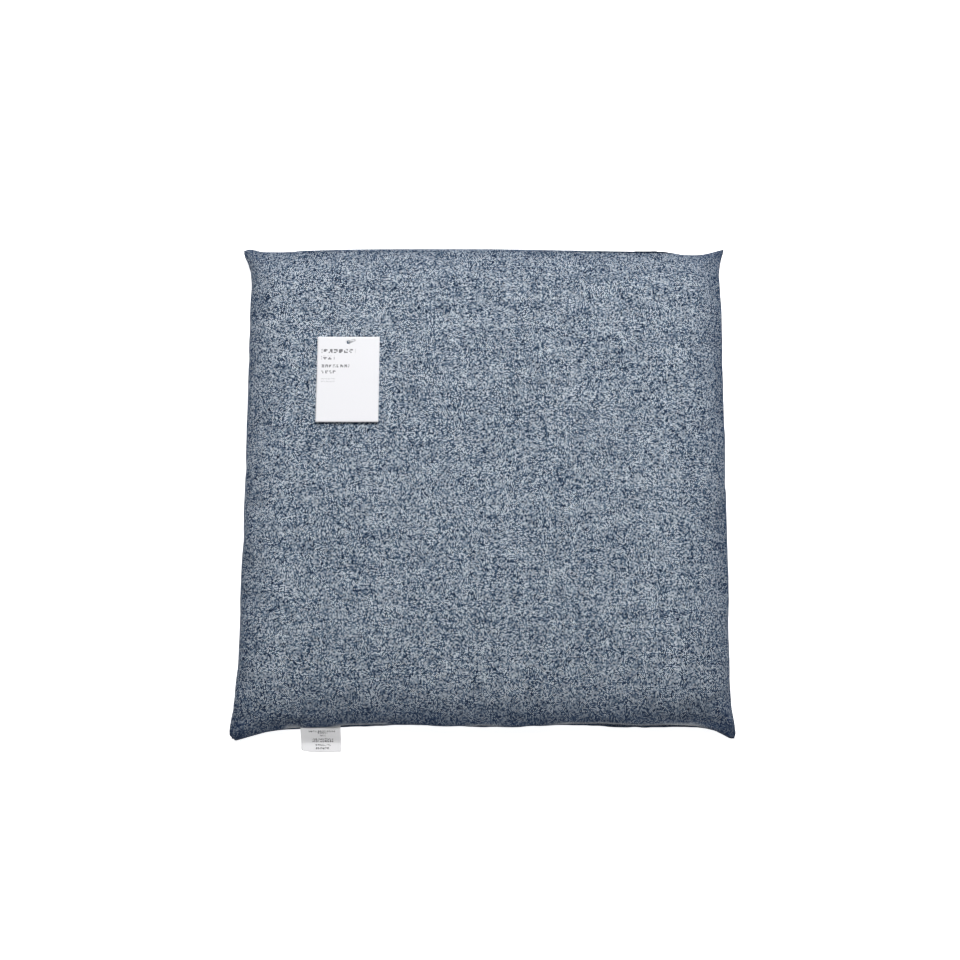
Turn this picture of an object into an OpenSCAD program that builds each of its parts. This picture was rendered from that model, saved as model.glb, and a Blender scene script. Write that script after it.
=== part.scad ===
// Square chair seat pad: a foam slab in a thin inner bag, inside a cloth cover with a zip in
// its back edge, a care label in its front seam and a card tag pinned to its top.
// The origin is the middle of the underside. +X is right, +Y is the zip side, +Z is up.

/* [Pad] */
// Width between the two side seams, at the middle of the pad
pad_w = 400; // [360:5:440]
// Depth between the front seam and the zip edge, at the middle of the pad
pad_d = 404; // [360:2:440]
// Thickness
pad_h = 30; // [28:1:36]
// Depth of the rounded edge, from the seam in to the flat top
edge_r = 14; // [12:1:16]
// How far the ears stand out at the corners
ear = 6; // [2:0.5:8]
// Height of the seam at the tips of the ears
ear_z = 7; // [5:0.5:10]
// How much lower the seam is in front than at the zip
front_sink = 5; // [0:0.5:5]
// How far the sides pull in between the corners
bow = 1.5; // [0:0.5:4]

/* [Cloth] */
// Thickness of the cover cloth
cloth_t = 0.9; // [0.6:0.1:1]
// Depth of the seam allowance that is turned in
allowance = 9; // [7:0.5:9]
// Thickness of the inner bag's sheets
liner_t = 0.5; // [0.3:0.1:0.6]

/* [Zip] */
// Length of the closed rows of coil
zip_len = 300; // [240:10:300]
// Height of the slot between the two turned-in cloth edges
slot_h = 8.4; // [8.2:0.1:9]
// Length of the pull, from its crossbar to its tip
pull_len = 18; // [12:1:22]

/* [Tag and label] */
// Width of the card tag
tag_w = 52; // [40:1:60]
// Length of the card tag
tag_l = 74; // [60:1:90]
// Thickness of the card
tag_t = 0.5; // [0.3:0.1:0.8]
// Radius of the punched hole
hole_r = 1.6; // [1.5:0.1:2.5]
// Width of the care label
label_w = 32.5; // [25:0.5:40]
// How far the care label reaches out from the seam
label_reach = 19; // [15:0.5:20]
// Thickness of the folded label, both plies
label_t = 0.6; // [0.4:0.1:0.8]

/* [Hidden] */
rings = 6;                        // rows of facets around the rounded edge
cells = 2 * rings + 5;            // cells from one side of a panel to the other
round_n = 40;                     // sides of a circle
seam_z = pad_h / 2;               // height of the zip's middle line
slit = 0.2;                       // half the gap between the two turned-in allowances
corner_soft = 0.9;                // extra edge radius at the corners, as a share of edge_r
thin_power = 3;                   // how soon the cloth has its full thickness above the seam
touch = 0.05;                     // gap between pieces that bear on each other
ear_power = 24;                   // how suddenly an ear leaves the side
droop_power = 8;                  // how suddenly the seam falls towards an ear

zip_half = zip_len / 2;
lip_x = zip_half + 8;             // where the zip slot starts to close
tape_y = pad_d / 2 - 5;           // outer face of the tapes
tape_t = 0.5;
tape_bend = 6;                    // height over the zip's middle where the tape starts to lean in
tape_top = 10.6;                  // height of the tape's far edge over the zip's middle
tape_lean = 3.6;                  // how far that edge leans in
tape_past = 4;                    // how far the tapes run on past the coil at each end
coil_gap = 1.9;                   // gap between the two rows of coil
coil_w = 1.5;
coil_t = 1.3;
coil_off = 0.05;                  // gap between a tape and what is clipped or laid on it
stop_t = coil_t + 0.2;            // thickness of the metal stops
stop_gap = 0.2;                   // gap between the coil's end and a stop
top_stop = 2;                     // length and height of each top stop
top_stop_up = 1.9;                // its height over the zip's middle
bottom_stop = [2.5, 5.8];         // length and height of the bottom stop, which spans both rows
tuck = pad_d / 2 - tape_y - cloth_t - 0.2; // how far the slot's lips sink in to the tapes
tuck_deg = 30;                    // the tuck has gone by this angle up the rounded edge
stitch_up = 5.8;                  // height of a zip stitch row over the zip's middle line
stitch_out = 1.25;                // how far the row stands out from the cloth beside the tape
stitch_t = 0.3;
stitch_h = 0.5;
seam_thread = 0.6;                // width of the side seam's thread
seam_thread_in = 1.6;             // inset of the side seam's thread from the outline
overlock_w = 0.5;
liner_thread_w = 0.3;

slider_len = 9;
slider_w = 7;
plate_t = 0.75;
plate_r = 1.5;                    // radius of the plates' corners
plate_low = coil_t + 0.3;         // underside of the outer plate over the tapes' outer face
plate_back = 0.25;                // gap between the tapes and the inner plate
post_len = 1.6;
post_w = 0.9;
bridge_w = 1.6;
bridge_half = 2.5;
bridge_t = 0.6;
bridge_room = 1.5;                // height of the opening under the bridge
bite = 0.1;                       // overlap of the pieces that a casting is made of
slider_x = zip_half - slider_len / 2 - 0.3;
pull_w = 5.2;
pull_t = 0.9;
pull_up = 0.7;                    // height of the pull's axis over the outer plate
pull_window = [4.2, 2.6];         // opening that the bridge passes through
pull_hole_r = 1.2;

pin_x = -114.5;
pin_y = 114.5;
pin_r = 0.3;
bar_r = 0.5;
bar_len = 9;
bar_room = 0.2;                   // gap above and below the bar, which turns over the inner bag
pin_clear = 0.2;                  // play of the pin in the cloth
pin_top = pad_h + 0.1;            // where the pin's lower half ends
head_up = 0.05;                   // gap between the card and the pin's head
head_at = [2.9, 1.1];             // middle of the head, from the pin's axis
head_deg = 20;
head_len = 4;
head_w = 2.2;
head_t = 0.5;
hole_in = 4.8;                    // distance of the hole from the card's top edge
tag_z = pad_h + 0.3;
label_x = -132.8;
label_gap = 0.7;                  // gap between the seam and the label's hinge line
label_z = seam_z - front_sink + 0.1; // height of the label's upper face at its hinge line
label_fall = label_z - 1.1;       // how far it falls on its way to the table
label_steps = 8;

liner_in = 9.6 + slit;            // inset of the inner bag from the cover's outline
liner_z = cloth_t + 2 * bar_r + 2 * bar_room;
core_in = liner_in + liner_t + 0.3;
core_z = liner_z + liner_t + 0.2;
skin_t = 0.01;                    // thickness of the slices that a rounded block is made of

// ---- the pad's form ----

// Half width at v, and half depth at u, where u and v run from -1 to 1; k is 1 on the cover
// and 0 on what lies inside it, which has no ears
function half_w(v, k) = pad_w / 2 + k * (bow * v * v + ear * pow(abs(v), ear_power));
function half_d(u, k) = pad_d / 2 + k * (bow * u * u + ear * pow(abs(u), ear_power));

// Angle up the rounded edge at row i: 0 at the seam, 90 on the flat top
function edge_deg(i) = 90 * min(i, cells - i, rings) / rings;

// Place of row i on a line of the given half length, with a rounded edge of radius r
function place(i, half, r) =
    i <= rings ? r * (1 - cos(edge_deg(i))) - half :
    i >= cells - rings ? half - r * (1 - cos(edge_deg(i))) :
    [-lip_x, -lip_x / 3, lip_x / 3, lip_x][i - rings - 1];

// Row i's share of the half width, from -1 to 1
function span(i) = place(i, pad_w / 2, edge_r) / (pad_w / 2);

// 1 where the zip slot is open, along the back rows only
function open_at(i, j) = j >= cells - rings && i > rings && i < cells - rings ? 1 : 0;

// How much of the bow and the ears a point has: none along the zip, which is straight
function shaped(i, j, k) = k - min(k, open_at(i, j));

function edge_radius(v) = edge_r * (1 + corner_soft * pow(abs(v), 6));
function plan_x(i, j, inset, k) =
    place(i, half_w(span(j), k) - inset, edge_radius(span(j)) - inset / 2);
function plan_y(i, j, inset, k) =
    place(j, half_d(span(i), shaped(i, j, k)) - inset, edge_radius(span(i)) - inset / 2);
function seam_height(i, j, k) =
    let (base = seam_z - k * front_sink * pow((1 - span(j)) / 2, 1.5))
    base - shaped(i, j, k) * (base - ear_z) * pow(abs(span(i) * span(j)), droop_power);

// A point of a cover panel: side is 1 for the upper panel and -1 for the lower one, inner is 0
// on its outer face and 1 on its inner face
function skin(i, j, side, inner) =
    let (inset = inner * cloth_t,
         open = open_at(i, j),
         rim = seam_height(i, j, 1) + side * (slit + (slot_h / 2 - slit) * open),
         face = side > 0 ? pad_h : 0,
         lift = sin(edge_deg(i)) * sin(edge_deg(j)),
         sink = tuck * open * max(0, 1 - edge_deg(j) / tuck_deg),
         z = rim + (face - rim) * lift)
    [plan_x(i, j, inset, 1), plan_y(i, j, inset, 1) - sink,
     z - side * inset * (1 - 2 * pow(1 - lift, thin_power))];

// ---- meshes ----

function grid(side, inner) = [for (i = [0:cells], j = [0:cells]) skin(i, j, side, inner)];
function grid_faces(start) =
    [for (i = [0:cells - 1], j = [0:cells - 1])
        let (a = start + i * (cells + 1) + j, b = a + 1, c = a + cells + 1, d = c + 1)
        each [[a, b, d], [a, d, c]]];
function turned(faces) = [for (f = faces) [for (n = [len(f) - 1:-1:0]) f[n]]];

// Row and column of the k-th rim point, counted from the front left corner past the right side
function rim_at(k) =
    k < cells ? [k, 0] :
    k < 2 * cells ? [cells, k - cells] :
    k < 3 * cells ? [3 * cells - k, cells] : [0, 4 * cells - k];
rim_n = 4 * cells;
function rim_index(start) =
    [for (k = [0:rim_n - 1]) let (p = rim_at(k)) start + p[0] * (cells + 1) + p[1]];
function loop_index(start) = [for (k = [0:rim_n - 1]) start + k];
function band(a, b) =
    [for (k = [0:rim_n - 1]) let (n = (k + 1) % rim_n)
        each [[a[k], a[n], b[n]], [a[k], b[n], b[k]]]];

// Depth of the turned-in allowance: short beside the zip, where it ends against the tape
function flange(side, inner) =
    [for (k = [0:rim_n - 1])
        let (p = rim_at(k), open = open_at(p[0], p[1]),
             depth = open > 0 ? cloth_t + touch : allowance)
        [plan_x(p[0], p[1], depth, 1), plan_y(p[0], p[1], depth, 1) - tuck * open,
         skin(p[0], p[1], side, inner)[2]]];

// A cover panel: outer face, inner face and the allowance turned in at the seam
module cover_panel(side) {
    outer = grid(side, 0);
    inner = grid(side, 1);
    low = flange(side, 0);
    high = flange(side, 1);
    n = len(outer);
    faces = concat(grid_faces(0), turned(grid_faces(n)),
                   band(rim_index(0), loop_index(2 * n)),
                   band(loop_index(2 * n), loop_index(2 * n + rim_n)),
                   band(loop_index(2 * n + rim_n), rim_index(n)));
    polyhedron(concat(outer, inner, low, high), side > 0 ? faces : turned(faces));
}

// What fills the cover above its seam: a square block with rounded edges, inset from the cover
module filling(inset, z_in) {
    r = edge_r - inset / 2;
    rise = seam_z - slit - z_in;
    hull() for (step = [0:rings])
        let (deg = 90 * step / rings, side_in = 2 * (inset + r * (1 - cos(deg))))
        translate([0, 0, seam_z + slit + (rise - skin_t) * sin(deg)])
            linear_extrude(skin_t) square([pad_w - side_in, pad_d - side_in], center = true);
}

// The same below the seam
module turn_over() {
    translate([0, 0, 2 * seam_z]) mirror([0, 0, 1]) children();
}

module liner_sheet() {
    difference() {
        filling(liner_in, liner_z);
        translate([0, 0, -skin_t]) filling(liner_in + liner_t, liner_z + liner_t - skin_t);
    }
}

// A flat thread run at the seam's height, from rim point first to rim point last
module thread_run(first, last, inset, w, h, k) {
    corners = [[0, -1], [w, -1], [w, 1], [0, 1]];
    points = [for (s = [first:last], c = corners)
        let (p = rim_at(s % rim_n))
        [plan_x(p[0], p[1], inset + c[0], k), plan_y(p[0], p[1], inset + c[0], k),
         seam_height(p[0], p[1], k) + c[1] * h / 2]];
    closed = last - first == rim_n - 1;
    count = last - first + 1;
    sides = [for (s = [0:closed ? count - 1 : count - 2], e = [0:3])
        let (a = 4 * s, b = 4 * ((s + 1) % count), f = (e + 1) % 4)
        each [[a + e, b + e, b + f], [a + e, b + f, a + f]]];
    caps = closed ? [] : [[0, 1, 2, 3], [for (e = [3:-1:0]) 4 * (count - 1) + e]];
    polyhedron(points, concat(sides, caps));
}

// The side seams run from one end of the zip round the front to its other end
module side_seam_run(inset, w, h) {
    thread_run(2 * cells + (cells - rings), 6 * cells + rings, inset, w, h, 1);
}

// ---- the soft parts ----

module foam_core() {
    color("#e8e0c4") hull() {
        filling(core_in, core_z);
        turn_over() filling(core_in, core_z);
    }
}

module liner_top() {
    color("#f2f2ee") liner_sheet();
}

module liner_bottom() {
    color("#f2f2ee") turn_over() liner_sheet();
}

module liner_thread() {
    color("white") thread_run(0, rim_n - 1, liner_in + touch, liner_thread_w, slit, 0);
}

module cover_top() {
    color("#6d8098") difference() {
        cover_panel(1);
        translate([pin_x, pin_y, pad_h])
            cylinder(h = 6, r = pin_r + pin_clear, center = true, $fn = round_n);
    }
}

module cover_bottom() {
    color("#3c4a60") cover_panel(-1);
}

module side_seam_thread() {
    color("#2f3b50") side_seam_run(seam_thread_in, seam_thread, slit);
}

module overlock_thread() {
    color("#44536a") side_seam_run(allowance + 2 * touch, overlock_w, 2 * cloth_t);
}

// ---- the zip ----

// A tape's cross-section in Y and Z, for the upper tape: flat beside the coil, then leaning in
// where the cover's rounded edge leaves less room
module tape_section() {
    edge = coil_gap / 2 - 0.2;
    polygon([[tape_y, edge], [tape_y, tape_bend], [tape_y - tape_lean, tape_top],
             [tape_y - tape_lean - tape_t, tape_top - 0.4], [tape_y - tape_t, tape_bend - 0.2],
             [tape_y - tape_t, edge]]);
}

// Stands a drawing of Y and Z up along X, centred, at the zip's height
module along_x(length) {
    translate([-length / 2, 0, seam_z]) rotate([90, 0, 90]) linear_extrude(length) children();
}

module zip_tape_upper() {
    color("#2c3a52") along_x(zip_len + 2 * tape_past) tape_section();
}

module zip_tape_lower() {
    color("#2c3a52") along_x(zip_len + 2 * tape_past) mirror([0, 1]) tape_section();
}

module coil_row(side) {
    low = side > 0 ? coil_gap / 2 : -coil_gap / 2 - coil_w;
    color("#24304a") along_x(zip_len) translate([tape_y + coil_off, low]) square([coil_t, coil_w]);
}

module zip_coil_upper() {
    coil_row(1);
}

module zip_coil_lower() {
    coil_row(-1);
}

module zip_top_stops() {
    color("#8d939c") for (side = [-1, 1])
        translate([zip_half + stop_gap, tape_y + coil_off, seam_z + side * top_stop_up - top_stop / 2])
            cube([top_stop, stop_t, top_stop]);
}

module zip_bottom_stop() {
    x = -zip_half - stop_gap - bottom_stop[0];
    color("#8d939c") translate([x, tape_y + coil_off, seam_z - bottom_stop[1] / 2])
        cube([bottom_stop[0], stop_t, bottom_stop[1]]);
}

// A zip stitch row lies on the lip, which leans out from the slot as it rises
module stitch_row(side) {
    length = zip_len + tape_past;
    y = tape_y + cloth_t + stitch_out;
    color("#33415a") translate([-length / 2, y, seam_z + side * stitch_up - stitch_h / 2])
        cube([length, stitch_t, stitch_h]);
}

module zip_stitch_upper() {
    stitch_row(1);
}

module zip_stitch_lower() {
    stitch_row(-1);
}

// A slider plate, round at both ends, from height low to height high over the tapes
module slider_plate(low, high) {
    translate([slider_x, tape_y + high, seam_z]) rotate([90, 0, 0]) linear_extrude(high - low)
        union() {
            square([slider_len - 2 * plate_r, slider_w], center = true);
            square([slider_len, slider_w - 2 * plate_r], center = true);
            for (x = [-1, 1], z = [-1, 1])
                translate([x * (slider_len / 2 - plate_r), z * (slider_w / 2 - plate_r)])
                    circle(r = plate_r, $fn = round_n);
        }
}

module zip_slider() {
    outer = plate_low + plate_t;
    inner = tape_t + plate_back;
    color("#39414d") union() {
        slider_plate(plate_low, outer);
        slider_plate(-inner - plate_t, -inner);
        // the post that joins the plates and parts the two rows
        translate([slider_x + slider_len / 2 - post_len - 0.6, tape_y - inner - bite, seam_z - post_w / 2])
            cube([post_len, inner + plate_low + 2 * bite, post_w]);
        // the bridge that holds the pull
        translate([slider_x, tape_y, seam_z - bridge_w / 2]) linear_extrude(bridge_w)
            difference() {
                translate([-bridge_half, outer - bite])
                    square([2 * bridge_half, bridge_room + bridge_t]);
                translate([-bridge_half + bridge_t, outer - 2 * bite])
                    square([2 * (bridge_half - bridge_t), bridge_room + bite]);
            }
    }
}

module pull_tab() {
    axis_y = tape_y + plate_low + plate_t + pull_up;
    tip = pull_w / 2 - pull_len;
    color("#39414d") translate([slider_x, axis_y, seam_z]) union() {
        cylinder(h = pull_w, r = pull_t / 2, center = true, $fn = round_n);
        rotate([90, 0, 0]) translate([0, 0, -pull_t / 2]) linear_extrude(pull_t)
            difference() {
                union() {
                    translate([tip, -pull_w / 2]) square([-tip, pull_w]);
                    translate([tip, 0]) circle(d = pull_w, $fn = round_n);
                }
                translate([-pull_window[0], -pull_window[1] / 2])
                    square([pull_window[0] + 1, pull_window[1]]);
                translate([tip, 0]) circle(r = pull_hole_r, $fn = round_n);
            }
    }
}

// ---- the label and the tag ----

// The label leaves the seam sloping down and bends a little more on its way to the table
function droop(s) = label_fall * (0.72 * s + 0.28 * s * s);

module care_label() {
    y0 = half_d(label_x / (pad_w / 2), 1) + label_gap;
    upper = [for (n = [0:label_steps]) let (s = n / label_steps) [-y0 - label_reach * s, label_z - droop(s)]];
    lower = [for (n = [label_steps:-1:0]) let (s = n / label_steps)
        [-y0 - label_reach * s, label_z - label_t - droop(s)]];
    color("#eeeef0") translate([label_x - label_w / 2, 0, 0]) rotate([90, 0, 90])
        linear_extrude(label_w) polygon(concat(upper, lower));
}

module tag_pin_bar() {
    z = pad_h - cloth_t - bar_r - bar_room;
    color("#e6eaee") translate([pin_x, pin_y, z]) union() {
        rotate([0, 90, 0]) cylinder(h = bar_len, r = bar_r, center = true, $fn = round_n);
        cylinder(h = pin_top - z, r = pin_r, $fn = round_n);
    }
}

// The filament's upper end and its flat head, which lies on the card beside the hole
module tag_pin_head() {
    low = pin_top + 0.1;
    top = tag_z + tag_t + head_up;
    color("#e6eaee") translate([pin_x, pin_y, 0]) union() {
        translate([0, 0, low]) cylinder(h = top + 0.2 - low, r = pin_r, $fn = round_n);
        translate([head_at[0], head_at[1], top]) rotate([0, 0, head_deg]) linear_extrude(head_t)
            union() {
                square([head_len, head_w], center = true);
                for (x = [-1, 1]) translate([x * head_len / 2, 0]) circle(d = head_w, $fn = round_n);
            }
    }
}

module hang_tag() {
    color("#f4f4f7") translate([pin_x, pin_y + hole_in - tag_l, tag_z]) linear_extrude(tag_t)
        difference() {
            translate([-tag_w / 2, 0]) square([tag_w, tag_l]);
            translate([0, tag_l - hole_in]) circle(r = hole_r, $fn = round_n);
        }
}

foam_core();
liner_top();
liner_bottom();
liner_thread();
cover_top();
cover_bottom();
side_seam_thread();
overlock_thread();
zip_tape_upper();
zip_tape_lower();
zip_coil_upper();
zip_coil_lower();
zip_top_stops();
zip_bottom_stop();
zip_stitch_upper();
zip_stitch_lower();
zip_slider();
pull_tab();
care_label();
tag_pin_bar();
tag_pin_head();
hang_tag();
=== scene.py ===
"""Looks of the chair seat pad: a simulated cloth cover with ears, seam and zip, a satin care label,
a card tag on a nylon pin, and the foam and inner bag inside. Lengths are in millimetres until a
mesh is made. Places come from the frame where it has them, and the rest are named values."""
import math

import bpy
import numpy as np
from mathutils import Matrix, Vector


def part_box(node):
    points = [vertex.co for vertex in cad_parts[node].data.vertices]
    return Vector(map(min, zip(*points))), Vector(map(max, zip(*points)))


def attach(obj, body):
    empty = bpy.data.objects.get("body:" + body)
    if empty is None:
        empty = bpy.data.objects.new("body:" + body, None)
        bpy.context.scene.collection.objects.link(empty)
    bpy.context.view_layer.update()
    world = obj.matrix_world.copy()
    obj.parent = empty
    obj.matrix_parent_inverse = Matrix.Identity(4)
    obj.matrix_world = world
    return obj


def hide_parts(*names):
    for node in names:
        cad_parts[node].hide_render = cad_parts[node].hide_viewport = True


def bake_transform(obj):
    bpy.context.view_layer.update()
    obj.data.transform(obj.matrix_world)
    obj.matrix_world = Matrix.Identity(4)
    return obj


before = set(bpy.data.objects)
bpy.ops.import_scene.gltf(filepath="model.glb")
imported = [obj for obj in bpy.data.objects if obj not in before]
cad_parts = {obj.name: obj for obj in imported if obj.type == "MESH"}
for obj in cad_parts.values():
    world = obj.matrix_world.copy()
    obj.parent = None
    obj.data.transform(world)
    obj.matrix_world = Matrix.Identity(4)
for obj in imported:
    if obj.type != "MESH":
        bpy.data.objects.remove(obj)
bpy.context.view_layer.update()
MM = 0.001


def box_mm(node):
    low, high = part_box(node)
    return np.array(low) / MM, np.array(high) / MM


# ---- places taken from the frame ----
PAD_H = box_mm("cover_top")[1][2]
SEAM_Z = PAD_H / 2
COIL_HIGH = box_mm("zip_coil_upper")[1]
ZIP_HALF = COIL_HIGH[0]
TAPE_Y = box_mm("zip_tape_upper")[1][1]
TAG_LOW, TAG_HIGH = box_mm("hang_tag")
BAR_LOW, BAR_HIGH = box_mm("tag_pin_bar")
PIN = (BAR_LOW + BAR_HIGH) / 2
LABEL_LOW, LABEL_HIGH = box_mm("care_label")

# ---- the pad's form, in millimetres ----
HALF_W, HALF_D = 200.0, 202.0
CUT_W, CUT_D = 414.0, 418.0       # each cover panel, flat, from seam to seam
EDGE_BAND = 30.0                  # band of finer cells along each edge
FINE, COARSE = 2.5, 5.0           # cell sizes in and inside that band
FRONT_SINK = 5.0                  # how much lower the seam is in front than at the zip
FACE_GAP = 0.3                    # gap between the cloth before simulation and the pad's full thickness
SLOT_HALF = 4.2                   # half the height of the zip slot
SLOT_EASE = 24.0                  # length over which the slot closes past each end of the zip
LIP_TUCK_Y = TAPE_Y + 1.1         # how far out the slot's lips stand

# Outline of the seam, side by side, as (distance along the side, place of the side)
LEFT = ((-203, -202.0), (-150, -201.2), (-80, -200.2), (0, -199.6), (80, -200.0), (150, -200.8),
        (200, -201.4))
RIGHT = ((-203, 199.0), (-150, 198.8), (-80, 199.3), (0, 199.9), (80, 200.5), (150, 201.2),
         (200, 201.2))
FRONT = ((-202, -203.4), (-150, -203.6), (-105, -202.4), (-69, -201.2), (-30, -202.0), (12, -202.7),
         (70, -201.2), (132, -202.7), (179, -202.2), (199, -202.0))
BACK = ((-201, 201.0), (-180, 201.0), (-111, 203.0), (-50, 203.4), (12, 203.2), (60, 202.2), (133, 200.4),
        (176, 199.0), (200, 199.5))

# Each ear: the corner it grows from, its tip, and how far along the seam it reaches
EARS = (
    {"corner": (-201.0, 200.0), "tip": (-211.5, 206.3, 9.0), "reach": 10.0, "blunt": 4.4},
    {"corner": (200.0, 199.5), "tip": (205.8, 205.6, 9.0), "reach": 9.0, "blunt": 0.6},
    {"corner": (-202.0, -203.4), "tip": (-208.0, -215.0, 6.0), "reach": 23.0, "blunt": 5.0},
    {"corner": (199.0, -202.0), "tip": (203.6, -214.0, 6.0), "reach": 13.0, "blunt": 3.6},
)
# Reach and power of the rounded edges at the sides, the front and the back
TOP_EDGES = ((40.0, 2.0), (88.0, 1.8), (42.0, 2.0))
BOTTOM_EDGES = ((26.0, 2.2), (24.0, 2.2), (26.0, 2.2))
EAR_DROOP = 55.0                  # distance from a corner over which the seam sinks to the ear
BLUNT_REACH = 4.5                 # how much of an ear's corner is rounded off

# Where the front seam gapes: middle, half length and height of each arch
GAPES = ((-155.0, 8.0, 0.5), (-101.0, 24.0, 1.0), (-1.0, 15.0, 0.9), (115.0, 66.0, 1.3))

SHAPE_SEED = 11
PUCKERS = ((6.5, 0.16), (9.5, 0.24), (14.0, 0.30), (24.0, 0.34))  # wavelength and height along a seam


def smooth_curve(points, q):
    """A smooth curve through given points."""
    x, y = np.array(points, float).T
    slope = np.gradient(y, x)
    k = np.clip(np.searchsorted(x, q) - 1, 0, len(x) - 2)
    h = x[k + 1] - x[k]
    t = np.clip((q - x[k]) / h, 0, 1)
    return (
        (2 * t**3 - 3 * t**2 + 1) * y[k]
        + (t**3 - 2 * t**2 + t) * h * slope[k]
        + (3 * t**2 - 2 * t**3) * y[k + 1]
        + (t**3 - t**2) * h * slope[k + 1]
    )


def ease(low, high, q):
    t = np.clip((q - low) / (high - low), 0, 1)
    return t * t * (3 - 2 * t)


def cut_lines(cut):
    """Cell borders across a flat panel: fine near the seams, coarse between."""
    band = np.linspace(0, EDGE_BAND, round(EDGE_BAND / FINE) + 1)
    middle = np.linspace(EDGE_BAND, cut - EDGE_BAND, round((cut - 2 * EDGE_BAND) / COARSE) + 1)
    return np.concatenate([band, middle[1:-1], cut - band[::-1]]) - cut / 2


def edge_profile(reach, power):
    """A rounded edge as cloth length from the seam, plan depth and share of the full rise."""
    t = np.linspace(0, 1, 600) ** 2.2
    plan, lift = reach * t, (1 - (1 - t) ** power) ** (1 / power)
    steps = np.hypot(np.diff(plan), SEAM_Z * np.diff(lift))
    return np.concatenate([[0], np.cumsum(steps)]), plan, lift


def fold_line(lines, half, low, high):
    """Where a flat panel's lines land in plan, from -1 to 1, and how far up its edges they are."""
    (cloth_a, plan_a, lift_a), (cloth_b, plan_b, lift_b) = low, high
    total = cloth_a[-1] + cloth_b[-1] + 2 * half - plan_a[-1] - plan_b[-1]
    q = (lines / np.ptp(lines) + 0.5) * total
    plan = np.interp(q, [cloth_a[-1], total - cloth_b[-1]], [plan_a[-1] - half, half - plan_b[-1]])
    plan = np.where(q < cloth_a[-1], np.interp(q, cloth_a, plan_a) - half, plan)
    plan = np.where(total - q < cloth_b[-1], half - np.interp(total - q, cloth_b, plan_b), plan)
    return plan / half, np.interp(q, cloth_a, lift_a) * np.interp(total - q, cloth_b, lift_b)


CUT_S, CUT_T = cut_lines(CUT_W), cut_lines(CUT_D)
ROWS, COLS = len(CUT_S), len(CUT_T)
# Distance of each point of a flat panel from its nearer side edge, and from the front or back
IN_X, IN_Y = np.meshgrid(CUT_W / 2 - np.abs(CUT_S), CUT_D / 2 - np.abs(CUT_T), indexing="ij")


def zip_open(x):
    return 1 - ease(ZIP_HALF + 3, ZIP_HALF + 3 + SLOT_EASE, np.abs(x))


def seam_height(x, y):
    base = SEAM_Z - FRONT_SINK * np.clip((1 - y / HALF_D) / 2, 0, 1) ** 1.5
    z = base
    free = 1 - zip_open(x) * ease(150, 190, y)
    for e in EARS:
        d = np.hypot(x - e["corner"][0], y - e["corner"][1])
        z = z + free * np.exp(-((d / EAR_DROOP) ** 1.6)) * (e["tip"][2] - base)
    return z


def gape(x):
    """How far the front seam's upper lip is lifted at x."""
    return sum(height * np.clip(1 - ((x - mid) / half) ** 2, 0, 1) for mid, half, height in GAPES)


def pucker(along, seed):
    """Uneven gathers along a seam."""
    phases = np.random.default_rng(seed).uniform(0, 2 * math.pi, len(PUCKERS))
    return sum(h * np.sin(2 * math.pi * along / w + p + 0.8 * np.sin(along / 31 + p))
               for (w, h), p in zip(PUCKERS, phases))


def start_shape(side):
    """The panel's places before simulation: outline, ears, rounded edge and zip slot."""
    sides, front, back = (edge_profile(*e) for e in (TOP_EDGES if side > 0 else BOTTOM_EDGES))
    a, lift_a = fold_line(CUT_S, HALF_W, sides, sides)
    b, lift_b = fold_line(CUT_T, HALF_D, front, back)
    a, b = np.meshgrid(a, b, indexing="ij")
    lift = np.outer(lift_a, lift_b)
    x0, y0 = a * HALF_W, b * HALF_D
    x = smooth_curve(LEFT, y0) * (1 - a) / 2 + smooth_curve(RIGHT, y0) * (1 + a) / 2
    y = smooth_curve(FRONT, x0) * (1 - b) / 2 + smooth_curve(BACK, x0) * (1 + b) / 2
    seam = seam_height(x, y)
    for e in EARS:
        (cx, cy), (tx, ty, _) = e["corner"], e["tip"]
        pull = np.exp(-((np.hypot(x - cx, y - cy) / e["reach"]) ** 1.4))
        x, y = x + pull * (tx - cx), y + pull * (ty - cy)
        off_x, off_y = x - tx, y - ty
        blunt = e["blunt"] * np.exp(-(np.hypot(off_x, off_y) / BLUNT_REACH) ** 2)
        x, y = x - blunt * np.sign(tx) * 0.7, y - blunt * np.sign(ty) * 0.7
    from_back = CUT_D / 2 - CUT_T[None, :] + 0 * x
    slot = zip_open(x) * (b > 0.5)
    seam = seam + side * SLOT_HALF * slot * (1 - ease(0, EDGE_BAND, from_back))
    sink = slot * (1 - ease(0, 6.0, from_back))
    y = y + sink * (np.minimum(y, LIP_TUCK_Y) - y)
    face = PAD_H - FACE_GAP if side > 0 else FACE_GAP
    z = seam + (face - seam) * lift
    calm = 1 - slot
    wave_x = np.where(y0 > 0, pucker(x, SHAPE_SEED), pucker(x, SHAPE_SEED + 1)) * calm * np.exp(-IN_Y / 9)
    wave_y = np.where(x0 > 0, pucker(y, SHAPE_SEED + 2), pucker(y, SHAPE_SEED + 3)) * np.exp(-IN_X / 9)
    z = z + 0.8 * (wave_x + wave_y)
    for k, e in enumerate(EARS):
        d = np.hypot(x - e["tip"][0], y - e["tip"][1])
        angle = np.arctan2(np.abs(y - e["tip"][1]) + 2, np.abs(x - e["tip"][0]) + 2)
        crease = np.sin(angle * (9 + k % 2) + k) * np.exp(-((d - 16) / 13) ** 2)
        z = z + side * 0.8 * crease
    return np.stack([x, y, z], -1)


def grid_faces(rows, cols, start=0, flip=False):
    i, j = np.meshgrid(np.arange(rows - 1), np.arange(cols - 1), indexing="ij")
    a = (start + i * cols + j).ravel()
    quads = np.stack([a, a + cols, a + cols + 1, a + 1], -1)
    return (quads[:, ::-1] if flip else quads).tolist()


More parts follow.
